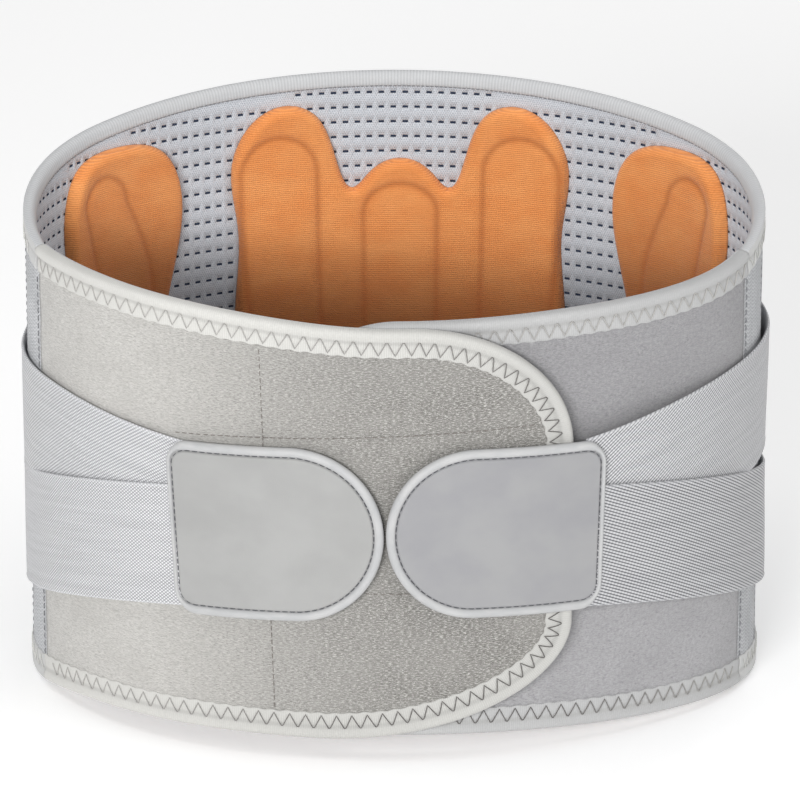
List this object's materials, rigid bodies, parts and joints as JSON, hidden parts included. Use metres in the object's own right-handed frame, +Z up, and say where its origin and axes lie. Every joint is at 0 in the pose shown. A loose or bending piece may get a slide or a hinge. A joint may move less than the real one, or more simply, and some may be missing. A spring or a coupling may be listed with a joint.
{
  "type": "lumbar support belt",
  "caption": "Wrap-around lumbar support belt with overlapping front flaps, crossed side straps ending in D-shaped pull tabs, back stays and moulded back pads.",
  "frame": {"origin": "on the floor under the middle of the closed belt's box", "axes": "+Z up, the wearer's front and the closure face -Y, +X to the right of someone facing the closure"},
  "size_m": [0.296, 0.2234, 0.2152],
  "materials": {
    "binding": "folded elastic binding, fine ribbed, slight sheen",
    "brushed_loop": "brushed loop fabric, matte",
    "mesh_lining": "spacer mesh with rows of small openings",
    "back_mesh": "dark knitted mesh",
    "foam": "thin laminated foam",
    "gusset_elastic": "ribbed elastic",
    "webbing": "woven elastic webbing",
    "channel_tape": "flat woven tape",
    "hook": "moulded hook tape",
    "tab_skin": "smooth matte coated fabric",
    "tab_piping": "rolled edging",
    "pad_knit": "fine ribbed knit, matte",
    "pad_insert": "soft moulded silicone",
    "stay_steel": "spring steel"
  },
  "bodies": {
    "back": {"back_lining": "mesh_lining", "back_core": "foam", "back_shell": "back_mesh", "left_gusset": "gusset_elastic", "right_gusset": "gusset_elastic", "back_binding_top": "binding", "back_binding_bottom": "binding", "stay_channel_1": "channel_tape", "stay_1": "stay_steel", "stay_channel_2": "channel_tape", "stay_2": "stay_steel", "stay_channel_3": "channel_tape", "stay_3": "stay_steel", "stay_channel_4": "channel_tape", "stay_4": "stay_steel", "centre_pad": "pad_knit", "centre_pad_insert": "pad_insert", "left_pad": "pad_knit", "left_pad_insert": "pad_insert", "right_pad": "pad_knit", "right_pad_insert": "pad_insert", "left_upper_rear_strap": "webbing", "left_lower_rear_strap": "webbing", "left_strap_anchor": "channel_tape", "right_upper_rear_strap": "webbing", "right_lower_rear_strap": "webbing", "right_strap_anchor": "channel_tape"},
    "outer_flap": {"outer_flap_lining": "mesh_lining", "outer_flap_core": "foam", "outer_flap_face": "brushed_loop", "outer_flap_binding": "binding", "outer_flap_hook_patch": "hook"},
    "inner_flap": {"inner_flap_lining": "mesh_lining", "inner_flap_core": "foam", "inner_flap_face": "brushed_loop", "inner_flap_binding": "binding"},
    "left_strap": {"left_upper_strap": "webbing", "left_lower_strap": "webbing"},
    "right_strap": {"right_upper_strap": "webbing", "right_lower_strap": "webbing"},
    "left_tab": {"left_tab_hook": "hook", "left_tab_board": "foam", "left_tab_face": "tab_skin", "left_tab_piping": "tab_piping"},
    "right_tab": {"right_tab_hook": "hook", "right_tab_board": "foam", "right_tab_face": "tab_skin", "right_tab_piping": "tab_piping"}
  },
  "joints": [
    {"name": "right_strap_swing", "type": "hinge", "parent": "inner_flap", "child": "right_strap", "pos_m": [0.14077, -0.03322, 0.0915], "axis": [0, 0, 1], "range_deg": [0, 150]},
    {"name": "outer_flap_open", "type": "hinge", "parent": "back", "child": "outer_flap", "pos_m": [-0.14266, -0.02926, 0.09], "axis": [0, 0, -1], "range_deg": [0, 50]},
    {"name": "inner_flap_open", "type": "hinge", "parent": "back", "child": "inner_flap", "pos_m": [0.14077, -0.03322, 0.09], "axis": [0, 0, 1], "range_deg": [0, 20]},
    {"name": "left_strap_swing", "type": "hinge", "parent": "outer_flap", "child": "left_strap", "pos_m": [-0.14266, -0.02926, 0.0885], "axis": [0, 0, -1], "range_deg": [0, 110]},
    {"name": "left_tab_peel", "type": "hinge", "parent": "left_strap", "child": "left_tab", "pos_m": [-0.08815, -0.08998, 0.0915], "axis": [0, 0, -1], "range_deg": [0, 75]},
    {"name": "right_tab_peel", "type": "hinge", "parent": "right_strap", "child": "right_tab", "pos_m": [0.08183, -0.09334, 0.0935], "axis": [0, 0, 1], "range_deg": [0, 75]}
  ],
  "couplings": [
    {"joint": "outer_flap_open", "follows": "right_strap_swing", "ratio": 0.3},
    {"joint": "inner_flap_open", "follows": "right_strap_swing", "ratio": 0.1}
  ]
}
